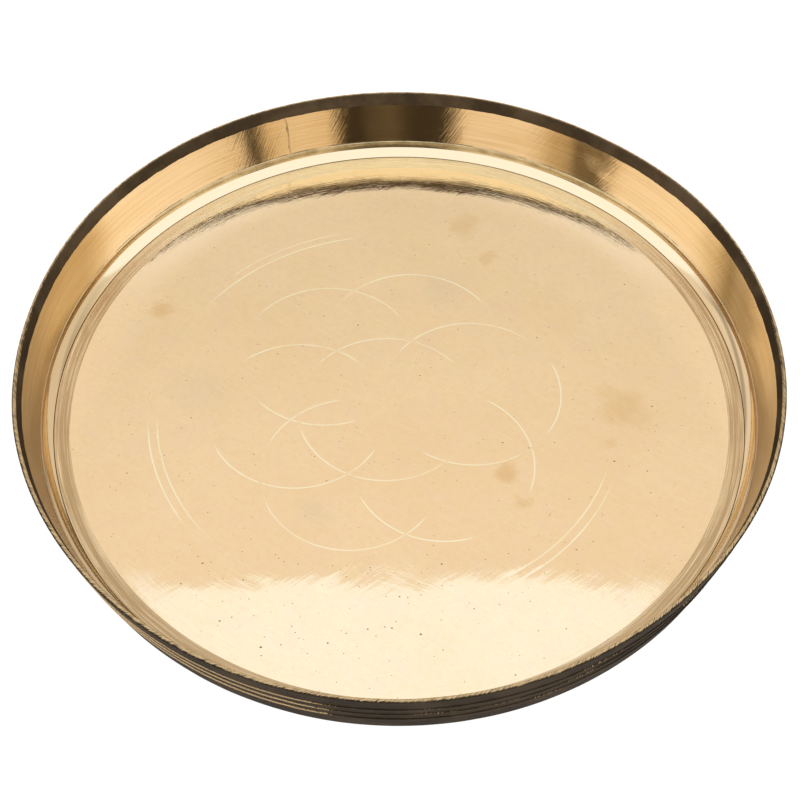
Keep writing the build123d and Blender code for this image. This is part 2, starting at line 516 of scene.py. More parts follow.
def wall_inside():
    """The wall's inner face: turned, then polished with slanting strokes, painted browner on the near
    side as painted shade.
    """
    made, g = new_material("wall_brass")
    at = polar(g)
    lines = g.streaks(at.direction, 2.5, at.z, 1100.0, 4.0, 0.75)
    coarse = g.streaks(at.direction, 5.0, at.z, 420.0, 5.0, 0.8)
    cloud = g.noise(at.position, 16.0, 3.0, 0.6)
    colour = g.tint(BRASS, TURNED, lines, 0.42, 0.70, 0.75)
    colour = g.tint(colour, STAIN, cloud, 0.5, 0.8, 0.3)
    colour = g.tint(colour, STAIN, coarse, 0.56, 0.72, 0.75)
    # Tarnish and painted shade at the wall's foot, in the crease above the flange
    foot = g.step(at.z, FLANGE_TOP + 1.3 * MM, FLANGE_TOP + 0.1 * MM)
    grime_shade_noise = g.noise(g.mapped(at.position, (45, 45, 120)), 1.0, 4.0, 0.65)
    grime_and_shade = g.math("MULTIPLY", foot, g.step(grime_shade_noise, 0.46, 0.60, 0.0, 0.9))
    colour = g.mix(grime_and_shade, colour, TARNISH_AND_SHADE)
    # Painted shade: the near side is painted browner, streaked with grey
    near = g.step(at.y, 0.06, -0.08)
    near_shade_colour = g.tint(WALL_SHADE_BROWN, SHADE_GREY, coarse, 0.42, 0.64, 0.7)
    colour = g.mix(g.math("MULTIPLY", near, 0.8), colour, near_shade_colour)
    rough = g.math("MULTIPLY_ADD", lines, 0.06, 0.02)
    rough = g.math("MULTIPLY_ADD", grime_and_shade, 0.3, rough)
    rough = g.math("MULTIPLY_ADD", near, 0.15, rough)
    turn = g.math("MULTIPLY", at.z, 2.2)
    climb = g.math("MULTIPLY", at.z, 50.0)
    strokes = g.noise(g.slanted(at.direction, turn, 170.0, climb), 1.0, 3.0, 0.65)
    patches = g.step(g.noise(at.position, 19.0, 2.0, 0.5), 0.38, 0.60, 0.55, 1.0)
    strokes = g.math("MULTIPLY", strokes, patches)
    finish_material(g, colour, rough, 1.0, ((lines, 0.013 * MM), (strokes, 0.075 * MM)))
    return made


def patina(name, scuffed):
    """Dark patina over brass, painted darker on the near side and lighter on the far side as painted
    shade. Brass shows through where the mesh's attribute of wear and painted highlight says so, and
    elsewhere through scuffs by as much as scuffed, from 0 to 1."""
    made, g = new_material(name)
    at = polar(g)
    lines = g.streaks(at.direction, 6.0, at.z, 900.0, 4.0, 0.75)
    cloud = g.noise(at.position, 22.0, 4.0, 0.6)
    blotch = g.noise(at.position, 70.0, 4.0, 0.65)
    grain = g.noise(at.position, 900.0, 3.0, 0.6)
    colour = g.tint(PATINA, PATINA_PALE, cloud, 0.38, 0.66, 1.0)
    colour = g.tint(colour, PATINA_RED, blotch, 0.50, 0.72, 0.7)
    colour = g.tint(colour, PATINA_PALE, lines, 0.56, 0.80, 0.5)
    # Painted shade: darker towards the near side, lighter towards the far side
    colour = g.scaled(colour, g.step(at.y, -0.10, 0.20, 0.58, 1.30))

    # Where brass shows through the patina: wear and painted highlight along slanting nicks on the edges,
    # and wear in the scuffs
    wear_and_glint = g.attribute("wear_and_glint")
    turn = g.math("MULTIPLY_ADD", at.radius, 5.8, g.math("MULTIPLY", at.z, 2.0))
    climb = g.math("MULTIPLY", at.radius, 260.0)
    nicks = g.noise(g.slanted(at.direction, turn, 380.0, climb), 1.0, 3.0, 0.7)
    rub_and_glint = g.math("MULTIPLY_ADD", g.math("SUBTRACT", nicks, 0.5), 4.0, wear_and_glint)
    rub_and_glint = g.math("MULTIPLY", g.step(rub_and_glint, 0.48, 1.05), g.step(wear_and_glint, 0.05, 0.30))
    turn = g.math("MULTIPLY", at.z, 3.0)
    climb = g.math("MULTIPLY", at.z, 420.0)
    scuff = g.noise(g.slanted(at.direction, turn, 26.0, climb), 1.0, 4.0, 0.75)
    rub_and_glint = g.math("MAXIMUM", rub_and_glint, g.step(scuff, 0.62, 0.78, 0.0, scuffed))

    colour = g.mix(rub_and_glint, colour, WORN_AND_GLINT)
    metal = g.math("MULTIPLY", rub_and_glint, 0.45)
    rough = g.math("MULTIPLY_ADD", rub_and_glint, -0.34, 0.58)
    rough = g.math("MULTIPLY_ADD", grain, 0.08, rough)
    heights = ((lines, 0.05 * MM), (grain, 0.03 * MM), (nicks, 0.18 * MM))
    finish_material(g, colour, rough, metal, heights, PATINA_SHEEN)
    return made


def solder():
    """Filed hard solder, blotched and rougher than the sheet."""
    made, g = new_material("hard_solder")
    at = polar(g)
    blotch = g.noise(at.position, 160.0, 4.0, 0.65)
    grain = g.noise(at.position, 1400.0, 2.0, 0.6)
    colour = g.tint(SOLDER, TARNISH_AND_SHADE, blotch, 0.40, 0.65, 0.35)
    rough = g.math("MULTIPLY_ADD", blotch, 0.25, 0.22)
    finish_material(g, colour, rough, 1.0, ((blotch, 0.10 * MM), (grain, 0.02 * MM)))
    return made


# ---- floor pan

# Where the maker set the dividers: centre x, centre y and radius of each circle, in millimetres,
# and the spans, in degrees from +X, where polishing has left the line deep and where it is painted with
# a bright glint
SCRIBED = (
    (-9.4, -3.2, 173.2, ((96, 146), (183, 222), (297, 340))),
    (-9.4, -3.2, 180.0, ((100, 136), (184, 218), (300, 338))),
    (-9.8, -5.9, 67.0, ((38, 143), (196, 312))),
    (55.6, 8.4, 67.8, ((44, 147), (234, 303), (322, 386))),
    (9.8, 59.1, 68.6, ((33, 144),)),
    (-55.7, 45.5, 68.0, ((32, 144), (218, 292))),
    (-76.6, -12.0, 67.2, ((46, 131), (204, 332))),
    (-35.3, -65.5, 66.8, ((96, 159), (200, 326))),
    (32.5, -58.0, 67.2, ((-24, 62), (203, 290))),
)
WORN_SHALLOW = 0.06
GRID = 3.4 * MM
UNDER_GRID = 9 * MM
SCRIBE_STEP = 2.2 * MM
GROOVE_DEPTH = 0.4 * MM
CRACK_DEPTH = 0.7 * MM

# On the near side the dish rises less, by this share, and starts this much further out
NEAR_LEVEL = 0.45
NEAR_START = 34 * MM

PIT_SEED = 11
PITS_SPREAD = 210
PITS_CLUSTERED = 85
CLUSTER = Vector((-0.050, -0.175))
CLUSTER_SIZE = 0.060
PIT_SIZES = (0.18, 0.42)
PIT_APART = 3 * MM
PIT_SIDES = 8
PIT_LENGTH = 1.6

# Rings of a pit from its edge to its middle: share of its size, and depth as a share of its size
PIT_RINGS = ((1.0, 0.0), (0.6, 0.35), (0.0, 0.6))

# Materials of the floor pan's faces
POLISHED, BRUSHED, COVE, UNDERSIDE = range(4)

SCRIBES = [(Vector((x, y)) * MM, radius * MM, i) for i, (x, y, radius, _) in enumerate(SCRIBED)]


def near_side(angle):
    """1 on the tray's near side, towards -Y, and 0 on its far side."""
    return smooth(0.5 - sin(angle) * 1.6)


def rise_share(angle):
    """The floor isn't quite level: how much of the dish's full rise it has at this angle."""
    return 1 - NEAR_LEVEL * near_side(angle)


def dish(radius, angle):
    """Height of the floor's upper face above its flat middle."""
    start = FLAT_RADIUS + NEAR_START * near_side(angle)
    rise = DISH_RISE * rise_share(angle)
    bend = ((GROOVE_RADIUS - start) ** 2 + rise**2) / (2 * rise)
    return bend - sqrt(bend**2 - max(0.0, radius - start) ** 2)


def dish_at(x, y):
    return dish(hypot(x, y), atan2(y, x))


def floor_wave(x, y):
    """Hand-beaten unevenness of the floor."""
    broad = noise.noise(Vector((x * 13, y * 13, 3.1))) * 0.14
    middle = noise.noise(Vector((x * 34, y * 34, 7.7))) * 0.085
    small = noise.noise(Vector((x * 80, y * 80, 1.3))) * 0.020
    return (broad + middle + small) * MM


def floor_top(x, y):
    """Height of the floor's upper face, waves and scribed lines included."""
    return FLOOR + dish_at(x, y) + floor_wave(x, y) - scribe_depth_at(x, y)


def span_share(number, turn):
    """1 where this circle's line is still deep, fading to 0 at the ends of its spans."""
    share = 0.0
    for first, last in SCRIBED[number][3]:
        inside = (degrees(turn) - first) % 360
        share = max(share, smooth(inside / 7) * smooth((last - first - inside) / 7))
    return share


def scribe_depth_at(x, y):
    """Depth of the scribed lines at this point; in places wear has left the lines shallow."""
    depth = 0.0
    for centre, radius, number in SCRIBES:
        offset = Vector((x, y)) - centre
        across = abs(offset.length - radius)
        if across < SCRIBE_WIDTH / 2:
            turn = atan2(offset.y, offset.x)
            wear = noise.noise(around(turn, radius * 30) + Vector((0, 0, number * 5.3)))
            share = max(WORN_SHALLOW, span_share(number, turn) * min(1.0, 0.80 + 0.7 * wear))
            depth = max(depth, SCRIBE_DEPTH * share * (1 - across / (SCRIBE_WIDTH / 2)))
    return depth


def clear_of_scribes(point, distance):
    """Whether a point is further than this distance from the middle of every scribed line."""
    return all(abs((point - centre).length - radius) > distance for centre, radius, _ in SCRIBES)


def place_pits():
    """Centres and radii of the small casting pits, clear of each other and of the scribed lines."""
    draw = random.Random(PIT_SEED)
    pits = []
    wanted = PITS_SPREAD + PITS_CLUSTERED
    while len(pits) < wanted:
        if len(pits) < PITS_SPREAD:
            turn = draw.uniform(0, 2 * pi)
            reach = (RING_START - 8 * MM) * sqrt(draw.random())
            centre = Vector((reach * cos(turn), reach * sin(turn)))
        else:
            centre = CLUSTER + Vector((draw.gauss(0, 1.5), draw.gauss(0, 0.6))) * CLUSTER_SIZE
        size = draw.uniform(*PIT_SIZES) * MM * (1.7 if draw.random() < 0.12 else 1.0)
        clear = centre.length < RING_START - 6 * MM
        clear = clear and all((centre - c).length > PIT_APART for c, _ in pits)
        if clear and clear_of_scribes(centre, SCRIBE_WIDTH + PIT_LENGTH * size):
            pits.append((centre, size))
    return pits


def disc(bm, edge, points, lines, height, pits=None, scribed=()):
    """Fills the round outline edge with triangles through the points and along the lines.

    pits gives the depth and darkness of the points that lie in a pit, and is None on a face
    without pits; scribed are the numbers of the points on the scribed lines.
    """
    flat = [Vector((v.co.x, v.co.y)) for v in edge] + points
    shapes = [(i, (i + 1) % len(edge)) for i in range(len(edge))]
    shapes += [(a + len(edge), b + len(edge)) for a, b in lines]
    coords, _, faces, origins, _, _ = delaunay_2d_cdt(flat, shapes, [], 0, 1e-7, True)
    made = []
    pit_layer = bm.verts.layers.float.get("pit")
    scribe_layer = bm.verts.layers.float.get("scribe")
    for co, origin in zip(coords, origins):
        first = min(origin) if origin else len(flat)
        if first < len(edge):
            made.append(edge[first])
            continue
        vert = bm.verts.new((co.x, co.y, height(co.x, co.y)))
        number = first - len(edge)
        if pits is not None and number < len(points):
            down, dark = pits.get(number, (0.0, 0.0))
            vert.co.z -= down
            vert[pit_layer] = dark
            if number in scribed:
                vert[scribe_layer] = min(1.0, scribe_depth_at(co.x, co.y) / SCRIBE_DEPTH)
        made.append(vert)
    for face in faces:
        bm.faces.new([made[i] for i in face])


def grid_points(reach, spacing):
    """Points of a triangular grid inside a circle."""
    rows = ceil(reach / (spacing * sqrt(3) / 2))
    columns = ceil(reach / spacing) + 1
    points = []
    for row in range(-rows, rows + 1):
        for column in range(-columns, columns + 1):
            point = Vector(((column + (row % 2) / 2) * spacing, row * spacing * sqrt(3) / 2))
            if point.length < reach:
                points.append(point)
    return points


def floor_top_points():
    """Grid, scribed lines and pits of the floor's upper face.

    Returns the points, the lines between them, depth and darkness by number for the pits' points,
    and the numbers of the points on the scribed lines.
    """
    pits = place_pits()
    cells = {}
    for centre, size in pits:
        cells.setdefault((round(centre.x / GRID), round(centre.y / GRID)), []).append((centre, size))

    def free(point):
        column, row = round(point.x / GRID), round(point.y / GRID)
        for i in (-1, 0, 1):
            for j in (-1, 0, 1):
                for centre, size in cells.get((column + i, row + j), ()):
                    if (point - centre).length < PIT_LENGTH * size + 1.0 * MM:
                        return False
        return clear_of_scribes(point, SCRIBE_WIDTH / 2 + 0.9 * MM)

    points = [p for p in grid_points(RING_START - 2 * MM, GRID) if free(p)]
    lines = []
    first_scribed = len(points)
    for centre, radius, _ in SCRIBES:
        steps = ceil(2 * pi * radius / SCRIBE_STEP)
        for shift in (-SCRIBE_WIDTH / 2, 0.0, SCRIBE_WIDTH / 2):
            start = len(points)
            for i in range(steps):
                turn = 2 * pi * i / steps
                points.append(centre + Vector((cos(turn), sin(turn))) * (radius + shift))
            lines += [(start + i, start + (i + 1) % steps) for i in range(steps)]
    scribed = range(first_scribed, len(points))
    depths = {}
    for centre, size in pits:
        for share, down in PIT_RINGS:
            for i in range(PIT_SIDES if share else 1):
                turn = 2 * pi * i / PIT_SIDES
                depths[len(points)] = (size * down, 1.0 if down else 0.0)
                points.append(centre + Vector((PIT_LENGTH * cos(turn), sin(turn))) * (size * share))
    return points, lines, depths, scribed


def crack_share(angle):
    """How open the crack between the floor's edge and the wall is, from 0 to 1."""
    open_share = noise.noise(around(angle, 9.0)) + 0.5 * noise.noise(around(angle, 31.0))
    return 0.25 + 0.75 * smooth(0.5 + 1.4 * open_share)


def arc_between(start, end, bulge, count):
    """Points after start on an arc to end that bulges outwards and down from its chord."""
    run, climb = end[0] - start[0], end[1] - start[1]
    chord = hypot(run, climb)
    points = []
    for share in between(0.0, 1.0, count)[1:]:
        sag = bulge * 4 * share * (1 - share)
        r = start[0] + run * share + sag * climb / chord
        z = start[1] + climb * share - sag * run / chord
        points.append((r, z))
    return points


COVE_START = (GROOVE_RADIUS + 0.3 * MM, COVE_START_Z)
COVE_END = (COVE_END_RADIUS, COVE_END_Z)
COVE_START_UNDER = (COVE_START[0] + FLOOR / 2, COVE_START[1] - FLOOR * 0.9)
COVE_END_UNDER = (COVE_END_RADIUS + FLANGE, COVE_END_Z)
COVE_MIDDLE_UNDER = arc_between(COVE_START_UNDER, COVE_END_UNDER, COVE_BULGE, 3)[0]
WALL_FOOT = (inner(0) + FLANGE, 0.0)
FLANGE_EDGE = inner(FLANGE_TOP)


def pan_profile(angle):
    """The pan from its ring outwards, up its cove and flange, and back underneath.

    Returns the outline, and how many of its points are on the ring and on the side that shows.
    """
    wave = noise.noise(around(angle, 7.0)) * 0.08 * MM
    low = DISH_RISE * (1 - rise_share(angle))
    radii = between(RING_START, GROOVE_RADIUS - 0.3 * MM, 8)
    ring = [(r, FLOOR + dish(r, angle) + wave * (i > 0)) for i, r in enumerate(radii)]
    start = (COVE_START[0], COVE_START[1] - low)
    groove = [(GROOVE_RADIUS, FLOOR + DISH_RISE - low - GROOVE_DEPTH), start]
    cove = arc_between(start, COVE_END, COVE_BULGE, 9)
    wide = crack_share(angle)
    flange = [
        (COVE_END_RADIUS + 0.12 * MM, COVE_END_Z + 0.8 * MM),
        (COVE_END_RADIUS + 0.25 * MM, COVE_END_Z + 3.0 * MM),
        (FLANGE_EDGE - 0.55 * MM, FLANGE_TOP - 1.2 * MM),
    ]
    land = [
        (FLANGE_EDGE - 0.50 * MM, FLANGE_TOP - 0.85 * MM),
        (FLANGE_EDGE + 0.06 * MM, FLANGE_TOP - 0.22 * MM),
        (FLANGE_EDGE + 0.10 * MM + CRACK_DEPTH * wide, FLANGE_TOP - 0.16 * MM - 0.1 * MM * wide),
    ]
    edge = [(FLANGE_EDGE + FLANGE, FLANGE_TOP - 0.05 * MM), COVE_END_UNDER]
    under = [COVE_MIDDLE_UNDER, (COVE_START_UNDER[0], COVE_START_UNDER[1] - low)]
    under += [(r, dish(r, angle) + 0.02 * MM) for r in between(GROOVE_RADIUS, RING_START, 4)]
    outline = ring + groove + cove + flange + land + edge + under
    shown = len(ring) + len(groove) + len(cove) + len(flange) + len(land)
    return outline, len(ring), shown


def under_height(x, y):
    """Height of the pan's underside, a little uneven."""
    wave = noise.noise(Vector((x * 40, y * 40, 9.0)))
    return dish_at(x, y) + max(0.0, wave) * 0.12 * MM


def make_floor_pan():
    bm = bmesh.new()
    bm.verts.layers.float.new("pit")
    bm.verts.layers.float.new("scribe")
    rows = []
    for i in range(TURNS):
        angle = 2 * pi * i / TURNS
        outline, brushed, shown = pan_profile(angle)
        rows.append([bm.verts.new(place(r, angle, z)) for r, z in outline])
    for i in range(TURNS):
        here, there = rows[i], rows[(i + 1) % TURNS]
        for j in range(len(here) - 1):
            face = bm.faces.new((here[j], here[j + 1], there[j + 1], there[j]))
            face.material_index = UNDERSIDE
            if j < shown - 1:
                face.material_index = BRUSHED if j < brushed - 1 else COVE
    points, lines, depths, scribed = floor_top_points()
    disc(bm, [row[0] for row in rows], points, lines, floor_top, depths, scribed)
    first_under = len(bm.faces)
    under_points = grid_points(RING_START - 6 * MM, UNDER_GRID)
    disc(bm, [row[-1] for row in rows], under_points, [], under_height)
    bm.faces.ensure_lookup_table()
    for face in bm.faces[first_under:]:
        face.material_index = UNDERSIDE
    return finished_mesh(bm, "floor_pan_brass")


# ---- wall

INSIDE_ROWS = 15
# The last outline point on the wall's inner face, after the three of its rebate
LAST_INSIDE = 3 + INSIDE_ROWS - 1
WALL_TURNS = TURNS * 4 // 3
JOINT_HALF = 0.6 * MM
JOINT_SUNK = 0.08 * MM
JOINT_REACH = 9 * MM


def wall_wave(angle, z):
    """Hand-made unevenness of the wall's face."""
    if z <= 0:
        return 0.0
    up = Vector((0, 0, z * 26))
    broad = noise.noise(around(angle, 5.5) + up) * 0.16
    small = noise.noise(around(angle, 17.0) + up * 1.7) * 0.05
    return (broad + small) * MM


def strip_edge(angle):
    """Height of the binding strip's ragged lower edge inside the tray."""
    rag = noise.noise(around(angle, 26.0)) * 0.55 + noise.noise(around(angle, 90.0)) * 0.30
    return HEIGHT - STRIP_INSIDE + rag * MM


def ridge_points(z_ridge, angle):
    """One turned ridge, from its foot up to its ledge, dented here and there."""
    dent = max(0.0, noise.noise(around(angle, 40.0) + Vector((0, 0, z_ridge * 900))) - 0.1) * 0.9
    proud = RIDGE_PROUD * (1 - 0.6 * dent)
    turn = degrees(angle) % 360
    # Painted highlight: the ledges are marked bright on the near left, where the light catches them,
    # with patchy wear elsewhere
    bright_span = smooth((turn - 196) / 12) * smooth((264 - turn) / 10)
    patchy = -0.10 + 1.2 * noise.noise(around(angle, 9.0) + Vector((4.0, 1.0, z_ridge * 40)))
    wear_and_painted_light = max(2.0 * bright_span, patchy)
    foot = z_ridge - RIDGE_FOOT
    return [
        (outer(foot), foot, 0.0),
        (outer(foot + 1.5 * MM) + proud * 0.42, foot + 1.5 * MM, 0.0),
        (outer(z_ridge) + proud * 0.77, z_ridge - 0.70 * MM, 0.0),
        (outer(z_ridge) + proud * 0.96, z_ridge - 0.25 * MM, wear_and_painted_light),
        (outer(z_ridge) + proud * 0.90, z_ridge + 0.05 * MM, wear_and_painted_light),
        (outer(z_ridge) + 0.02 * MM, z_ridge + 0.25 * MM, wear_and_painted_light * 0.6),
    ]


def wall_profile(angle):
    """Closed outline of the wall strip: inner face up, rebate, outer face down. Radius, height, and wear
    with painted highlight.
    """
    edge = strip_edge(angle)
    inside = [(*WALL_FOOT, 0.0), (*COVE_END_UNDER, 0.0), (FLANGE_EDGE + FLANGE, FLANGE_TOP, 0.0)]
    inside += [(inner(z), z, 0.0) for z in between(FLANGE_TOP, edge, INSIDE_ROWS)]
    rebate = [
        (inner(edge) + STRIP, edge + 0.02 * MM, 0.0),
        (inner(WALL_TOP) + STRIP, WALL_TOP, 0.0),
        (outer(WALL_TOP) - STRIP, WALL_TOP, 0.0),
        (outer(STRIP_SEAT) - STRIP, STRIP_SEAT, 0.0),
    ]
    outside = []
    low = 0.5 * MM
    for z_ridge in RIDGES:
        foot = z_ridge - RIDGE_FOOT
        outside += [(outer(z), z, 0.0) for z in between(low, foot, 4)[:-1]]
        outside += ridge_points(z_ridge, angle)
        low = z_ridge + 1.2 * MM
    outside = [(outer(0) - 0.5 * MM, 0.0, 0.0)] + outside
    return inside + rebate + list(reversed(outside))


def joint_profile(angle):
    """The joint's outline: the wall's own, filed a touch below its inner face."""
    outline = wall_profile(angle)
    sunk = [(r + JOINT_SUNK, z, wear_and_glint) for r, z, wear_and_glint in outline[: LAST_INSIDE + 1]]
    return sunk + outline[LAST_INSIDE + 1 :]


def joint_wiggle(z):
    """The filed joint isn't straight: how far it strays sideways at this height."""
    broad = noise.noise(Vector((z * 130, 4.0, 0.5))) * 1.1
    fine = noise.noise(Vector((z * 420, 9.0, 0.5))) * 0.45
    return (broad + fine) * MM


def near_joint(angle):
    """1 at the wall's joint, 0 away from it."""
    turn = (angle - WALL_JOINT + pi) % (2 * pi) - pi
    return smooth(1 - abs(turn) * LIP_RADIUS / JOINT_REACH)


def wall_face(j):
    """Material of the face above outline point j: 0 on the wall's inner face, 1 elsewhere."""
    return 0 if j < LAST_INSIDE else 1


def wall_vertex(radius, angle, z):
    """Point of the wall, waved, and shifted sideways beside the joint."""
    shifted = angle + near_joint(angle) * joint_wiggle(z) / LIP_RADIUS
    return place(radius + wall_wave(angle, z), shifted, z)


def make_swept(name, profile, vertex, start, end, steps, index_of=None):
    """Open sweep of a closed outline with capped ends. The outline's third value is its wear and painted
    highlight.

    index_of gives the material number of the face above each outline point.
    """
    bm = bmesh.new()
    layer = bm.verts.layers.float.new("wear_and_glint")
    rows = []
    for i in range(steps + 1):
        angle = start + (end - start) * i / steps
        row = []
        for r, z, wear_and_glint in profile(angle):
            vert = bm.verts.new(vertex(r, angle, z))
            vert[layer] = wear_and_glint
            row.append(vert)
        rows.append(row)
    size = len(rows[0])
    for here, there in zip(rows, rows[1:]):
        for j in range(size):
            k = (j + 1) % size
            face = bm.faces.new((here[j], there[j], there[k], here[k]))
            face.material_index = index_of(j) if index_of else 0
    bm.faces.new(rows[0])
    bm.faces.new(list(reversed(rows[-1])))
    return finished_mesh(bm, name)


# ---- rim

RIM_STEPS = 2000
RIM_ROUND = 0.75 * MM
RIM_JOINT_HALF = 1.2 * MM


def nick(angle, across):
    """Depth of the hammer nicks on the lip; they run slantwise over it."""
    arc = angle * LIP_RADIUS
    slant = arc + across * 1.2
    coarse = noise.noise(Vector((slant * 260, across * 260, 0.0)))
    fine = noise.noise(Vector((slant * 560, across * 500, 5.0)))
    return (max(0.0, coarse) * 0.24 + max(0.0, fine) * 0.20) * MM


def lip_points():
    """The lip from outside to inside: rounded edge, flat top, rounded edge. Radius, height, wear."""
    points = []
    for i, turn in enumerate(between(0, pi / 2, 4)):
        r = outer(HEIGHT) - RIM_ROUND * (1 - cos(turn))
        z = HEIGHT - RIM_ROUND * (1 - sin(turn))
        points.append((r, z, 1.0 if i else 0.6))
    for r in between(outer(HEIGHT) - RIM_ROUND, inner(HEIGHT) + RIM_ROUND, 6)[1:-1]:
        points.append((r, HEIGHT, 1.0))
    for i, turn in enumerate(between(pi / 2, 0, 4)):
        r = inner(HEIGHT) + RIM_ROUND * (1 - cos(turn))
        z = HEIGHT - RIM_ROUND * (1 - sin(turn))
        points.append((r, z, 0.6 if i == 3 else 1.0))
    return points


def rim_profile(angle):
    """Closed outline of the folded strip: outer leg up, hammered lip, inner leg down."""
    edge = strip_edge(angle)
    outline = [
        (outer(STRIP_SEAT) - STRIP, STRIP_SEAT, 0.0),
        (outer(STRIP_SEAT), STRIP_SEAT + 0.05 * MM, 0.0),
    ]
    outline += [(outer(z), z, 0.0) for z in between(STRIP_SEAT + 3 * MM, HEIGHT - 2.4 * MM, 5)]
    below_lip = HEIGHT - 1.5 * MM
    outline.append((outer(below_lip) - 0.5 * nick(angle, 3 * MM), below_lip, -0.4))
    middle = (outer(HEIGHT) + inner(HEIGHT)) / 2
    # Wear and painted highlight: brass shows at the lip's outer edge on the far side and at its inner
    # edge on the near side, where the edge catches the light
    near = smooth(0.5 - sin(angle) * 1.4)
    for r, z, wear_and_glint in lip_points():
        across = outer(HEIGHT) - r
        deep = nick(angle, across)
        pull = -0.35 * deep if r > middle else 0.35 * deep
        outer_wear_and_glint = smooth(2.1 - across / (1.1 * MM)) * (1 - near)
        inner_wear_and_glint = smooth(across / (1.6 * MM)) * near
        edge_wear_and_glint = outer_wear_and_glint + inner_wear_and_glint
        outline.append((r + pull, z - deep, wear_and_glint * (0.05 + 0.95 * edge_wear_and_glint)))
    below_lip = HEIGHT - 1.6 * MM
    outline.append((inner(below_lip), below_lip, -0.2))
    outline += [(inner(z), z, 0.0) for z in between(HEIGHT - 3 * MM, edge + 0.3 * MM, 5)]
    # Wear and painted highlight along the strip's ragged lower edge inside
    outline += [(inner(edge) + 0.05 * MM, edge, 0.3), (inner(edge) + STRIP, edge + 0.01 * MM, 0.0)]
    outline += [(inner(WALL_TOP) + STRIP, WALL_TOP, 0.0), (outer(WALL_TOP) - STRIP, WALL_TOP, 0.0)]
    return outline


def rim_vertex(radius, angle, z):
    return place(radius + wall_wave(angle, z), angle, z)


# ---- assembly of the tray


def bead_profile(angle):
    """Closed outline of the solder bead between the pan's cove and the wall's foot."""
    share = BRAZE_LOW / COVE_END_Z
    at_wall = (WALL_FOOT[0] + (COVE_END_UNDER[0] - WALL_FOOT[0]) * share, BRAZE_LOW)
    lump = noise.noise(around(angle, 18.0)) * 0.35 * MM
    outline = [COVE_START_UNDER, COVE_MIDDLE_UNDER, COVE_END_UNDER, at_wall]
    for share in (0.75, 0.5, 0.25):
        r = COVE_START_UNDER[0] + (at_wall[0] - COVE_START_UNDER[0]) * share
        z = COVE_START_UNDER[1] + (at_wall[1] - COVE_START_UNDER[1]) * share
        outline.append((r, z + (0.7 * MM + lump) * 4 * share * (1 - share)))
    return [place(r, angle, z) for r, z in outline]


def build_tray():
    floor_brass = polished_brass()
    ring_brass = brushed_brass()
    cove = cove_brass()
    inside = wall_inside()
    dark = patina("dark_patina", 0.45)
    rim_dark = patina("rim_patina", 0.0)
    braze = solder()

    mesh = make_floor_pan()
    pan_materials = [floor_brass, ring_brass, cove, dark]
    piece("floor_pan_brass", mesh, "floor_pan", pan_materials, 4)

    gap = JOINT_HALF / LIP_RADIUS
    start, end = WALL_JOINT + gap, WALL_JOINT + 2 * pi - gap
    mesh = make_swept("wall_band_brass", wall_profile, wall_vertex, start, end, WALL_TURNS, wall_face)
    piece("wall_band_brass", mesh, "wall_band", [inside, dark], 30)

    start, end = WALL_JOINT - gap, WALL_JOINT + gap
    mesh = make_swept("wall_joint_solder", joint_profile, wall_vertex, start, end, 4, wall_face)
    piece("wall_joint_solder", mesh, "wall_joint", [braze, dark], 30)

    gap = RIM_JOINT_HALF / LIP_RADIUS
    start, end = RIM_JOINT + gap, RIM_JOINT + 2 * pi - gap
    mesh = make_swept("rim_strip_brass", rim_profile, rim_vertex, start, end, RIM_STEPS)
    piece("rim_strip_brass", mesh, "rim_strip", [rim_dark], 50)

    # Filed and patinated with the strip, so its solder doesn't show
    start, end = RIM_JOINT - gap, RIM_JOINT + gap
    mesh = make_swept("rim_joint_solder", rim_profile, rim_vertex, start, end, 6)
    piece("rim_joint_solder", mesh, "rim_joint", [rim_dark], 50)

    mesh = sweep_round("corner_braze_solder", bead_profile, TURNS)
    piece("corner_braze_solder", mesh, "corner_braze", [braze], 40)


# ---- stage, light and camera


STAGE_REACH = 6.0
STAGE_Z = -0.0004
STAGE_COLOUR = (0.30, 0.27, 0.22, 1)
STAGE_GLOW = 0.88
WHITE = (1, 1, 1, 1)


def make_panel(name, low, high, z):
    """A flat rectangle on the stage, from low to high in x and y, facing up."""
    mesh = bpy.data.meshes.new(name)
    corners = [(low[0], low[1], z), (high[0], low[1], z), (high[0], high[1], z), (low[0], high[1], z)]
    mesh.from_pydata(corners, [], [(0, 1, 2, 3)])
    panel = add_object(name, mesh)
    made, g = new_material(name)
    mesh.materials.append(made)
    return panel, g


def make_stage():
    """The pale floor under the tray, which glows a little so that it comes out nearly white."""
    low, high = (-STAGE_REACH, -STAGE_REACH), (STAGE_REACH, STAGE_REACH)
    _, g = make_panel("studio_floor", low, high, STAGE_Z)
    diffuse = g.node("ShaderNodeBsdfDiffuse", {"Color": STAGE_COLOUR})
    glow = g.node("ShaderNodeEmission", {"Color": WHITE, "Strength": STAGE_GLOW})
    g.surface(g.node("ShaderNodeAddShader", {0: diffuse.outputs[0], 1: glow.outputs[0]}))


# Colours of the lights round the tray, as they show in the brass
SOFTBOX = (1.15, 1.32, 1.64)
BACKDROP_LOW = (0.89, 0.875, 0.88)
BACKDROP_HIGH = (1.00, 0.97, 0.99)
LAMP_TINT = (0.88, 1.0, 1.36)
NEAR_LIGHT = 1.4

# The overhead softbox: height, half its width, and its edges towards and away from the viewer
SOFTBOX_HEIGHT = 0.80
SOFTBOX_HALF = 1.40
SOFTBOX_NEAR = -0.84
SOFTBOX_FAR = 0.310

# How much the gaps low in the far backdrop take away, to the right and to the left
GAP_RIGHT = 0.33
GAP_LEFT = 0.46

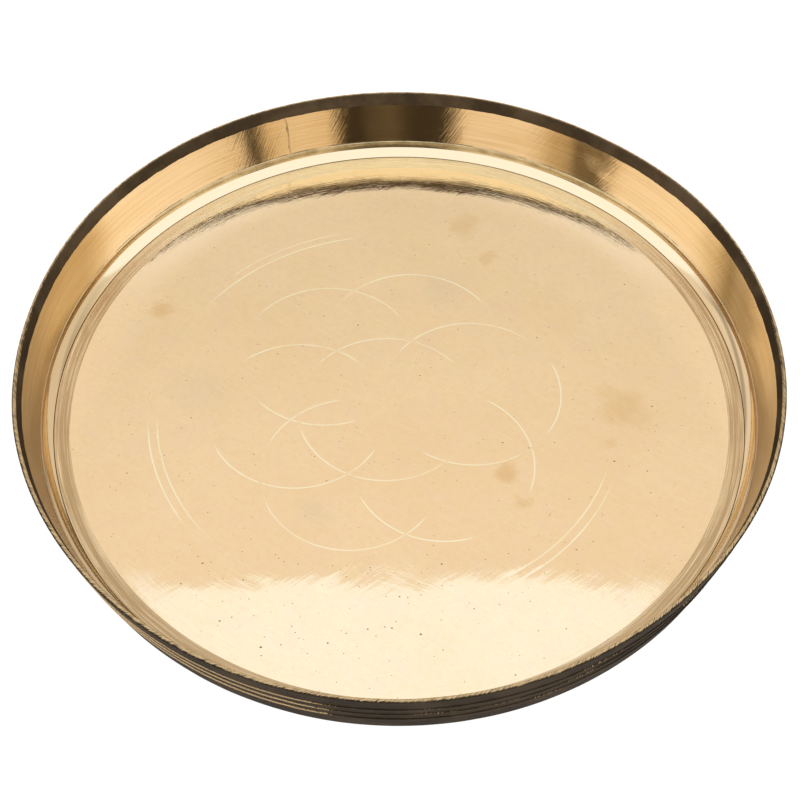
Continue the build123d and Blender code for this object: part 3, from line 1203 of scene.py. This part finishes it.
# Light low around the tray: bearing in degrees from -Y towards +X, and brightness
LIGHTS_ROUND = (
    (-180, 1.00),
    (-112, 0.98),
    (-108, 0.60),
    (-102, 1.00),
    (-90, 1.40),
    (-66, 1.35),
    (-61, 1.05),
    (-60, 0.20),
    (-51, 0.22),
    (-49, 0.52),
    (-43, 0.75),
    (-38, 1.25),
    (-19, 1.18),
    (-16.3, 0.95),
    (-15.3, 0.07),
    (-3, 0.05),
    (0, 0.14),
    (7, 0.12),
    (9, 0.06),
    (16.6, 0.05),
    (17.8, 0.95),
    (28, 1.10),
    (35, 0.90),
    (37, 0.75),
    (38.5, 0.12),
    (43, 0.12),
    (44.5, 1.05),
    (60, 1.35),
    (88, 1.45),
    (95, 1.00),
    (101, 0.78),
    (180, 1.00),
)


def make_softbox():
    """The lamp panel over the tray. It is seen in the brass, not by the camera."""
    low, high = (-SOFTBOX_HALF, SOFTBOX_NEAR), (SOFTBOX_HALF, SOFTBOX_FAR)
    panel, g = make_panel("softbox", low, high, SOFTBOX_HEIGHT)
    panel.visible_camera = False
    g.surface(g.node("ShaderNodeEmission", {"Color": (*SOFTBOX, 1), "Strength": 1.0}))


def make_world():
    """What the brass mirrors: backdrops above, near and far, and lights and gaps low all round.

    The camera itself sees plain white. rise and bearing are in degrees.
    """
    world = bpy.data.worlds.new("studio")
    bpy.context.scene.world = world
    world.use_nodes = True
    g = Graph(world.node_tree)
    direction = g.node("ShaderNodeTexCoord").outputs["Generated"]
    x, y, z = g.node("ShaderNodeSeparateXYZ", {"Vector": direction}).outputs
    rise = g.math("MULTIPLY", g.math("ARCSINE", z), 180 / pi)
    bearing = g.math("MULTIPLY", g.math("ARCTAN2", x, g.math("MULTIPLY", y, -1.0)), 180 / pi)

    ramp = g.node("ShaderNodeValToRGB", {"Fac": g.math("MULTIPLY_ADD", bearing, 1 / 360, 0.5)})
    stops = ramp.color_ramp.elements
    for i, (turn, level) in enumerate(LIGHTS_ROUND):
        stop = stops[i] if i < 2 else stops.new(turn / 360 + 0.5)
        stop.position = turn / 360 + 0.5
        tinted = smooth((level - 0.8) / 0.5)
        stop.color = [level * (1 + (tint - 1) * tinted) for tint in LAMP_TINT] + [1]
    stage_far = g.mix(g.step(rise, 46.0, 58.0), (*BACKDROP_LOW, 1), (*BACKDROP_HIGH, 1))
    stage_near = tuple(NEAR_LIGHT * tint for tint in LAMP_TINT) + (1,)
    upper = g.mix(g.step(y, -0.30, 0.10), stage_near, stage_far)
    colour = g.mix(g.step(rise, 30.0, 42.0), ramp.outputs["Color"], upper)

    low_right = g.math("MULTIPLY", g.step(x, -0.10, 0.10), g.step(y, 0.05, 0.50, 0.0, GAP_RIGHT))
    low_right = g.math("MULTIPLY", low_right, g.step(rise, 27.0, 34.0))
    low_left = g.math("MULTIPLY", g.step(x, 0.10, -0.10), g.step(y, 0.05, 0.40, 0.0, GAP_LEFT))
    low_left = g.math("MULTIPLY", low_left, g.step(rise, 16.0, 22.0))
    low_left = g.math("MULTIPLY", low_left, g.step(rise, 31.0, 27.0))
    gap = g.math("MULTIPLY", g.step(rise, 47.0, 40.0), g.math("ADD", low_right, low_left))
    colour = g.scaled(colour, g.math("SUBTRACT", 1.0, gap))

    light = g.node("ShaderNodeBackground", {"Color": colour, "Strength": 1.0})
    plain = g.node("ShaderNodeBackground", {"Color": WHITE, "Strength": 1.0})
    seen = g.node("ShaderNodeLightPath").outputs["Is Camera Ray"]
    both = g.node("ShaderNodeMixShader", {0: seen, 1: light.outputs[0], 2: plain.outputs[0]})
    g.surface(both, "ShaderNodeOutputWorld")


# The photo's camera, fitted to the outline of the lip: focal length in pixels of an 800-pixel
# picture, distance in lip radii with its last small correction, and roll
SENSOR = 36.0
LENS = SENSOR * 1549 / 800
VIEW_RISE = radians(53.0)
VIEW_DISTANCE = 4.207 * LIP_RADIUS * 0.9985
VIEW_ROLL = radians(-0.219)
VIEW_SHIFT = (0.00125, 0.0011)


def make_camera():
    data = bpy.data.cameras.new("camera")
    data.lens = LENS
    data.sensor_width = SENSOR
    data.clip_start = 0.05
    data.clip_end = 50.0
    data.shift_x, data.shift_y = VIEW_SHIFT
    camera = add_object("camera", data)
    back = Vector((0, -cos(VIEW_RISE), sin(VIEW_RISE)))
    level = Vector((1, 0, 0))
    up = Vector((0, sin(VIEW_RISE), cos(VIEW_RISE)))
    right = level * cos(VIEW_ROLL) + up * sin(VIEW_ROLL)
    top = up * cos(VIEW_ROLL) - level * sin(VIEW_ROLL)
    turn = Matrix((right, top, back)).transposed().to_4x4()
    camera.matrix_world = Matrix.Translation(back * VIEW_DISTANCE + Vector((0, 0, FLOOR))) @ turn
    bpy.context.scene.camera = camera


make_camera()
make_world()
make_softbox()
make_stage()
build_tray()
bpy.context.scene.view_settings.view_transform = "Standard"
